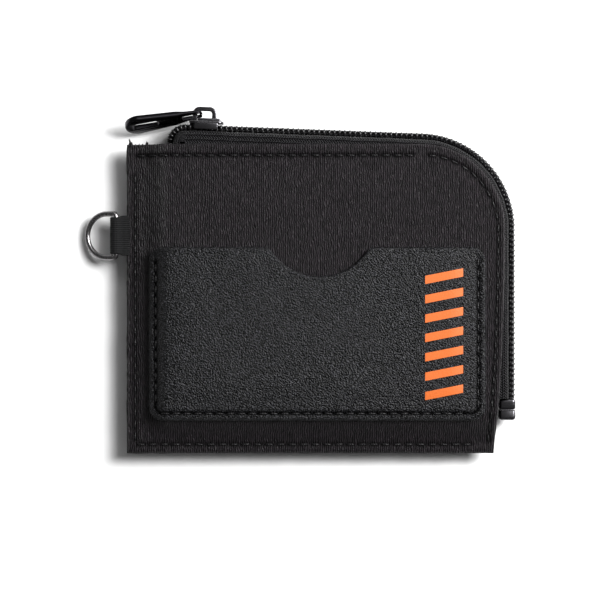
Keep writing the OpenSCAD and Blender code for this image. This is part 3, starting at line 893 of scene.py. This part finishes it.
def make_clip(material):
    """The metal clip folded over the end of the zip, with a groove pressed across it."""
    x0, x1 = float(CLIP_LOW[0]), float(CLIP_HIGH[0])
    y0, y1 = float(CLIP_LOW[1]), float(CLIP_HIGH[1])
    half = float(CLIP_HIGH[2])
    middle = (y0 + y1) / 2
    clip = plate("zip_end_clip_plated", [rounded_box(x0, y0, x1, y1, 1.0)], 2 * half, 0.8)
    spots = [((x0 + x1) / 2, side * (half + 0.15), "Y") for side in (-1, 1)]
    spots += [(x, 0, "Z") for x in (x0 - 0.2, x1 + 0.2)]
    for x, z, along in spots:
        turn = (0, math.pi / 2, 0) if along == "Y" else (0, 0, 0)
        bpy.ops.mesh.primitive_cylinder_add(
            vertices=24, radius=0.5 * MM, depth=8 * MM, location=Vector((x, middle, z)) * MM, rotation=turn
        )
        cut(clip, bpy.context.object)
    edge = clip.modifiers.new("pressed_edges", "BEVEL")
    edge.width = 0.15 * MM
    edge.segments = 2
    edge.angle_limit = math.radians(40)
    keep_modifiers(clip)
    return settle(clip, HOME, material, 30)


# ---- Webbing loop ----


def make_webbing(material):
    """A strip of ribbed webbing folded round the ring's bar, its two ends sewn in behind the front cloth."""
    r, t = 1.28, 0.78
    turn = np.linspace(math.pi / 2, 3 * math.pi / 2, 25)
    loop = np.stack([-BAR_OUT + r * np.cos(turn), r * np.sin(turn)], 1)
    near = np.linspace(1.1, -BAR_OUT, 13)[:-1]
    dip = r - 0.68 * ease((near + BAR_OUT) / 2.4)
    path = np.concatenate([np.stack([near, dip], 1), loop, np.stack([near, -dip], 1)[::-1]])
    step = np.gradient(path, axis=0)
    step /= np.linalg.norm(step, axis=1)[:, None]
    out = np.stack([-step[:, 1], step[:, 0]], 1) * -1
    length = np.concatenate([[0], np.cumsum(np.linalg.norm(np.diff(path, axis=0), axis=1))])
    v = np.linspace(-1, 1, 91)
    half = 5.4 + 0.4 * ease((path[:, 0] + 2.6) / 1.4)
    y = RING_Y + half[:, None] * v[None, :]
    rib = 0.07 * np.cos(v[None, :] * half[:, None] * 2 * math.pi / 0.62)
    edge = 0.16 * np.clip((np.abs(v[None, :]) - 0.93) / 0.07, 0, 1) ** 2
    grids = []
    for sign in (1, -1):
        off = sign * t / 2 + (rib - edge if sign > 0 else edge)
        grid = np.stack([path[:, :1] + out[:, :1] * off, y, path[:, 1:] + out[:, 1:] * off], -1)
        grids.append(grid.reshape(-1, 3))
    uv = np.stack([np.repeat(length, len(v)), (half[:, None] * v[None, :]).ravel()], 1)
    faces = sheet_faces(len(path), len(v))
    piece = mesh_piece("ring_webbing", np.concatenate(grids), faces, material, uv=np.concatenate([uv, uv]))
    only(piece)
    bpy.ops.object.mode_set(mode="EDIT")
    bpy.ops.mesh.select_all(action="SELECT")
    bpy.ops.mesh.normals_make_consistent(inside=False)
    bpy.ops.object.mode_set(mode="OBJECT")
    piece.data.set_sharp_from_angle(angle=math.radians(60))
    return piece


def make_frays(material):
    """Melted cloth threads that stick out of the leaf's top left corner."""
    rng = np.random.default_rng(5)
    points, faces = [], []
    for k, x in enumerate([0.7, 1.0, 1.25, 1.5, 2.6, 3.6, 4.6, 5.5, 5.8, 6.0]):
        length = (0.8, 1.5, 1.7, 0.8, 0.2, 0.3, 0.2, 0.6, 1.0, 0.7)[k]
        lean = rng.uniform(-0.3, 0.3)
        t = np.linspace(0, 1, 7)
        line = np.stack([
            x + lean * length * t**1.5,
            PANEL_H - 0.5 + (length + 0.5) * t,
            SEAM_HALF + 0.05 + rng.uniform(-0.2, 0.25) + 0.5 * t * rng.uniform(-0.4, 0.6),
        ], 1)
        mesh, tube_faces = tube(line, rng.uniform(0.24, 0.4) * (1 - 0.7 * t**1.5), 6)
        start = len(points)
        points += mesh.tolist()
        faces += [[start + i for i in f] for f in tube_faces]
    return mesh_piece("frayed_threads", points, faces, material)


# ---- Materials ----


def rgb(code):
    """An sRGB hex colour as the linear values that the shader takes."""
    parts = [int(code[i : i + 2], 16) / 255 for i in (1, 3, 5)]
    return [c / 12.92 if c <= 0.04045 else ((c + 0.055) / 1.055) ** 2.4 for c in parts] + [1.0]


def material(name, colour, roughness, metallic=0.0, **sockets):
    mat = bpy.data.materials.new(name)
    mat.use_nodes = True
    shader = mat.node_tree.nodes["Principled BSDF"]
    shader.inputs["Base Color"].default_value = rgb(colour)
    shader.inputs["Roughness"].default_value = roughness
    shader.inputs["Metallic"].default_value = metallic
    for key, value in sockets.items():
        shader.inputs[key.replace("_", " ")].default_value = value
    return mat


def node(mat, kind, inputs=None, **settings):
    """Adds one node, with its settings and with values or other nodes' outputs on its inputs."""
    made_node = mat.node_tree.nodes.new(kind)
    for key, value in settings.items():
        setattr(made_node, key, value)
    for key, value in (inputs or {}).items():
        if isinstance(value, bpy.types.NodeSocket):
            mat.node_tree.links.new(value, made_node.inputs[key])
        else:
            made_node.inputs[key].default_value = value
    return made_node


def set_shader(mat, socket, output):
    mat.node_tree.links.new(output, mat.node_tree.nodes["Principled BSDF"].inputs[socket])


def in_mm(mat, stretch=(1, 1, 1), output="Object"):
    """Coordinates in millimetres: of the object, or of the cloth by its UV map, which is in them already."""
    unit = 1000 if output == "Object" else 1
    coords = node(mat, "ShaderNodeTexCoord").outputs[output]
    scaled = node(mat, "ShaderNodeMapping", {"Vector": coords, "Scale": [unit * s for s in stretch]})
    return scaled.outputs["Vector"]


def noise_of(mat, vector, scale, detail=3.0, roughness=0.55):
    inputs = {"Vector": vector, "Scale": scale, "Detail": detail, "Roughness": roughness}
    return node(mat, "ShaderNodeTexNoise", inputs).outputs["Fac"]


def ribs_of(mat, vector, period, direction="X", distortion=0.0, detail_scale=1.0):
    """Bands with a period in millimetres."""
    return node(
        mat,
        "ShaderNodeTexWave",
        {"Vector": vector, "Scale": 0.31416 / period, "Distortion": distortion, "Detail": 2.0,
         "Detail Scale": detail_scale},
        wave_type="BANDS",
        bands_direction=direction,
    ).outputs["Fac"]


def mixed(mat, factor, low, high, start=0.0, end=1.0):
    """A colour or value from low, where the factor is start, to high, where it is end."""
    ramp = node(mat, "ShaderNodeValToRGB", {"Fac": factor})
    for stop, value, at in zip(ramp.color_ramp.elements, (low, high), (start, end)):
        stop.position = at
        stop.color = rgb(value) if isinstance(value, str) else (value, value, value, 1)
    return ramp.outputs["Color"]


def summed(mat, a, b, share):
    return node(mat, "ShaderNodeMath", {0: b, 1: share, 2: a}, operation="MULTIPLY_ADD").outputs[0]


def bumpy(mat, height, depth_mm, strength=1.0):
    bump = node(mat, "ShaderNodeBump", {"Height": height, "Distance": depth_mm * MM, "Strength": strength})
    set_shader(mat, "Normal", bump.outputs["Normal"])
    return mat


def darkened(mat, colour, specular):
    """The colour, with it and the shine held back in the sewn channels, where light doesn't reach."""
    recess = node(mat, "ShaderNodeAttribute", attribute_name="recess").outputs["Fac"]
    keep = node(mat, "ShaderNodeMath", {0: recess, 1: -0.9, 2: 1.0}, operation="MULTIPLY_ADD").outputs[0]
    shine = node(mat, "ShaderNodeMath", {0: keep, 1: specular}, operation="MULTIPLY").outputs[0]
    shade = node(mat, "ShaderNodeVectorMath", {0: colour, "Scale": keep}, operation="SCALE").outputs[0]
    set_shader(mat, "Specular IOR Level", shine)
    set_shader(mat, "Base Color", shade)


def crinkled_nylon():
    """Outer cloth: crinkled nylon with fine upright ribs and a slight sheen."""
    mat = material("crinkled_ribbed_nylon", "#0f0d10", 0.42, Sheen_Weight=0.06)
    ribs = ribs_of(mat, in_mm(mat, (1, 0.8, 1)), 0.63, "X", 5.0, 1.4)
    crinkle = noise_of(mat, in_mm(mat, (1.5, 0.55, 1)), 1.0, 5.0, 0.68)
    weave = noise_of(mat, in_mm(mat), 4.5, 2.0)
    height = summed(mat, summed(mat, ribs, crinkle, 1.5), weave, 0.35)
    # The base colour is lighter where the crinkles stand high and a little on the rib tops: a painted
    # highlight on the raised tops, partly the yarn's own uneven tone.
    darkened(mat, mixed(mat, summed(mat, crinkle, ribs, 0.16), "#030203", "#221d21", 0.46, 0.78), 0.15)
    set_shader(mat, "Roughness", mixed(mat, ribs, 0.52, 0.36))
    return bumpy(mat, height, 0.26)


def pebbled_leather():
    """Pocket: coated leather with a fine pebble and a soft shine."""
    mat = material("pebbled_leather", "#09090a", 0.32)
    where = in_mm(mat)
    pebbles = node(
        mat,
        "ShaderNodeTexVoronoi",
        {"Vector": where, "Scale": 1.9, "Randomness": 0.95, "Smoothness": 0.5},
        feature="SMOOTH_F1",
    ).outputs["Distance"]
    grain = noise_of(mat, where, 2.5, 2.0, 0.7)
    broad = noise_of(mat, where, 0.09, 2.0)
    # The base colour is lighter on the pebbles' raised tops: partly painted highlights on the pebbles, partly
    # uneven dye.
    darkened(mat, mixed(mat, grain, "#010101", "#39393d", 0.5, 0.7), 0.2)
    set_shader(mat, "Roughness", mixed(mat, broad, 0.27, 0.38))
    return bumpy(mat, summed(mat, grain, pebbles, -0.8), 0.3)


def transfer_print():
    """Bars: an even, matt heat-transfer print that lets a little of the leather's grain through."""
    mat = material("orange_transfer_print", "#e27222", 0.5)
    grain = noise_of(mat, in_mm(mat), 2.4, 3.0)
    set_shader(mat, "Base Color", mixed(mat, grain, "#ba5514", "#cb6624"))
    return bumpy(mat, grain, 0.05)


def woven_tape():
    """Zip tape: woven polyester with ribs along it and a fine cross weave."""
    mat = material("woven_polyester_tape", "#141315", 0.42, Specular_IOR_Level=0.25)
    where = in_mm(mat, output="UV")
    axes = node(mat, "ShaderNodeSeparateXYZ", {0: where}).outputs
    zigzag = node(mat, "ShaderNodeMath", {0: axes["Y"], 1: 0.7}, operation="PINGPONG").outputs[0]
    leaning = summed(mat, axes["X"], zigzag, 0.9)
    slanted = node(mat, "ShaderNodeCombineXYZ", {0: leaning, 1: axes["Y"]}).outputs[0]
    knit = ribs_of(mat, slanted, 0.75, "X", 0.5)
    warp = ribs_of(mat, where, 0.7, "Y", 0.3)
    fuzz = noise_of(mat, where, 2.4, 2.0, 0.7)
    set_shader(mat, "Base Color", mixed(mat, summed(mat, fuzz, knit, 0.25), "#010101", "#323134", 0.55, 0.85))
    return bumpy(mat, summed(mat, knit, warp, 0.7), 0.5)


def moulded_nylon():
    """Coil: moulded nylon monofilament."""
    mat = material("nylon_monofilament", "#121113", 0.3)
    set_shader(mat, "Roughness", mixed(mat, noise_of(mat, in_mm(mat), 1.6), 0.2, 0.36))
    return bumpy(mat, noise_of(mat, in_mm(mat), 5.0), 0.02)


def plated_zinc(name, colour, roughness):
    """Hardware: die-cast zinc with a dark plating, faintly uneven and lightly rubbed."""
    mat = material(name, colour, roughness, 1.0)
    rubbed = noise_of(mat, in_mm(mat, (0.6, 2.5, 2.5)), 1.4, 4.0)
    set_shader(mat, "Roughness", mixed(mat, rubbed, roughness * 0.75, roughness * 1.45))
    return bumpy(mat, noise_of(mat, in_mm(mat), 1.1, 2.0), 0.012)


def drawn_wire():
    """Ring: drawn steel wire with dark nickel plating."""
    mat = material("dark_nickel_wire", "#8b898a", 0.24, 1.0)
    set_shader(mat, "Roughness", mixed(mat, noise_of(mat, in_mm(mat), 2.2, 4.0), 0.16, 0.36))
    return bumpy(mat, noise_of(mat, in_mm(mat), 2.0), 0.012)


def ribbed_webbing():
    """Loop: grosgrain webbing; its ribs are modelled, and the yarn's weave is a bump."""
    mat = material("ribbed_polyester_webbing", "#0b0b0c", 0.7, Specular_IOR_Level=0.2)
    where = in_mm(mat, output="UV")
    yarn = ribs_of(mat, where, 0.36, "X", 0.8)
    set_shader(mat, "Base Color", mixed(mat, noise_of(mat, where, 2.0), "#070708", "#101011"))
    return bumpy(mat, summed(mat, yarn, noise_of(mat, where, 3.0), 0.8), 0.07)


def sewing_thread(name, low, high):
    """Stitches: twisted polyester thread."""
    mat = material(name, low, 0.5, Specular_IOR_Level=0.3)
    ply = ribs_of(mat, in_mm(mat), 0.35, "DIAGONAL", 0.6)
    set_shader(mat, "Base Color", mixed(mat, ply, low, high))
    return bumpy(mat, ply, 0.05)


def lining_weave():
    """Lining: plain woven polyester."""
    mat = material("woven_polyester_lining", "#3c3c3f", 0.7, Sheen_Weight=0.15)
    where = in_mm(mat)
    weave = summed(mat, ribs_of(mat, where, 0.45, "X"), ribs_of(mat, where, 0.45, "Y"), 1.0)
    set_shader(mat, "Base Color", mixed(mat, noise_of(mat, where, 0.6), "#343437", "#454548"))
    return bumpy(mat, weave, 0.05)


def open_foam():
    """Padding: thin open-cell polyurethane foam."""
    mat = material("polyurethane_foam", "#d3d1c8", 0.9)
    return bumpy(mat, noise_of(mat, in_mm(mat), 3.0, 3.0), 0.15)


# ---- Pieces ----

nylon = crinkled_nylon()
leather = pebbled_leather()
orange = transfer_print()
tape_cloth = woven_tape()
coil_nylon = moulded_nylon()
gunmetal = plated_zinc("gunmetal_plated_zinc", "#5a595c", 0.24)
black_plating = plated_zinc("black_enamelled_zinc", "#2c2b2e", 0.2)
wire = drawn_wire()
webbing = ribbed_webbing()
dark_thread = sewing_thread("polyester_thread", "#060606", "#121113")
pocket_thread = sewing_thread("polyester_thread_pocket", "#070707", "#171618")
lining_cloth = lining_weave()
padding_foam = open_foam()


def leaf_cover(depth):
    return lambda x, y: face(x, y) - depth


def on_root(piece, slot_name, *nodes):
    return finish_piece(piece, "root", slot_name, *nodes)


front_panel = on_root(shell("front_panel", nylon, 0.6), "outer_cloth", "front_shell")
back_panel = on_root(shell("back_panel", nylon, 0.75, True), "outer_cloth", "back_shell")
front_inside = on_root(lining("front_lining_cloth", lining_cloth), "lining_cloth", "front_lining")
back_inside = on_root(lining("back_lining_cloth", lining_cloth, True), "lining_cloth", "back_lining")
front_pad = on_root(foam("front_foam_pad", padding_foam), "foam", "front_foam")
back_pad = on_root(foam("back_foam_pad", padding_foam, True), "foam", "back_foam")
pocket = on_root(make_pocket(leather), "pocket_leather", "card_pocket")
on_root(make_bars(orange), "accent_print", "accent_print")
on_root(make_frays(nylon), "outer_cloth")

zip_row = zip_stitches()
front_zip_row = stitches("front_zip_thread", zip_row, leaf_cover(0.26), 0.12, dark_thread)
on_root(front_zip_row, "thread", "front_zip_stitching")
back_zip_row = stitches("back_zip_thread", zip_row, leaf_cover(0.28), 0.1, dark_thread, (-1,))
on_root(back_zip_row, "thread", "back_zip_stitching")
seam_row = stitches("seam_thread", seam_stitches(), leaf_cover(0.2), 0.08, dark_thread, (1, -1))
on_root(seam_row, "thread", "seam_stitching")


def pocket_cover(x, y):
    return pocket_under(x, y) + LEATHER_T - 0.5


pocket_row = stitches("pocket_thread", pocket_stitches(), pocket_cover, 0.14, pocket_thread)
on_root(pocket_row, "thread", "pocket_stitching")

# The zip is in two lengths, parted where the slider's travel ends; the top one gets a mesh of its own
lengths = {"top": (-TAIL_BEND - TAIL_DROP, SPLIT), "side": (SPLIT, ZIP_RUN)}
for side, half in ((1, "front"), (-1, "back")):
    for part, (s0, s1) in lengths.items():
        cloth = tape(f"{half}_tape_{part}", s0, s1, side, tape_cloth)
        finish_piece(cloth, "root", "zip_tape", f"{half}_zip_tape")
        stagger = 0 if side > 0 else COIL_PITCH / 2
        teeth = coil(f"{half}_coil_{part}", s0 - 0.01, s1, side, stagger, coil_nylon)
        finish_piece(teeth, "root", "zip_coil", f"{half}_zip_coil")
        if part == "top":
            for piece in (cloth, teeth):
                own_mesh(piece)

finish_piece(make_slider(gunmetal), "slider", "gunmetal", "slider_body")
finish_piece(make_bridge(gunmetal), "slider", "gunmetal", "slider_bridge")
finish_piece(make_pull(black_plating), "pull", "gunmetal", "pull_tab")
finish_piece(make_ring(wire), "ring", "nickel_wire", "d_ring")
finish_piece(make_clip(gunmetal), "root", "gunmetal", "zip_end_clip")
finish_piece(make_webbing(webbing), "root", "webbing", "ring_tab")

# ---- Floor, light and camera ----

bpy.ops.mesh.primitive_plane_add(size=3, location=(0, 0, cad_box[0][2] - 0.0004))
floor = bpy.context.object
floor.name = "floor"
paper = material("matt_white_paper", "#f4f4f4", 0.85)
bumpy(paper, noise_of(paper, in_mm(paper), 0.8), 0.02)
floor.data.materials.append(paper)

world = bpy.data.worlds.new("studio")
world.use_nodes = True
world.node_tree.nodes["Background"].inputs["Color"].default_value = (1, 1, 1, 1)
world.node_tree.nodes["Background"].inputs["Strength"].default_value = 0.12
bpy.context.scene.world = world


def softbox(name, where, size, power, target=(0, 0, 0.01)):
    light = bpy.data.lights.new(name, "AREA")
    light.shape = "RECTANGLE"
    light.size, light.size_y = size
    light.energy = power
    lamp = bpy.data.objects.new(name, light)
    lamp.location = where
    lamp.rotation_euler = (Vector(target) - Vector(where)).to_track_quat("-Z", "Y").to_euler()
    bpy.context.scene.collection.objects.link(lamp)


softbox("key_softbox", (0.27, 0.13, 0.26), (0.14, 0.2), 2.2)
softbox("top_softbox", (0.06, 0.4, 0.36), (0.4, 0.12), 0.45)
window = bpy.data.objects.new("daylight", bpy.data.lights.new("daylight", "SUN"))
window.data.energy = 3.1
window.data.angle = math.radians(30)
window.rotation_euler = Vector((-0.62, -0.36, -0.72)).to_track_quat("-Z", "Y").to_euler()
bpy.context.scene.collection.objects.link(window)

camera = bpy.data.objects.new("overhead_camera", bpy.data.cameras.new("overhead_camera"))
camera.location = (-0.0045, -0.0003, 0.7)
camera.data.lens = 36 * 0.69 / 0.174
camera.data.clip_start = 0.01
bpy.context.scene.collection.objects.link(camera)
bpy.context.scene.camera = camera
bpy.context.scene.view_settings.view_transform = "Standard"

bpy.context.view_layer.update()
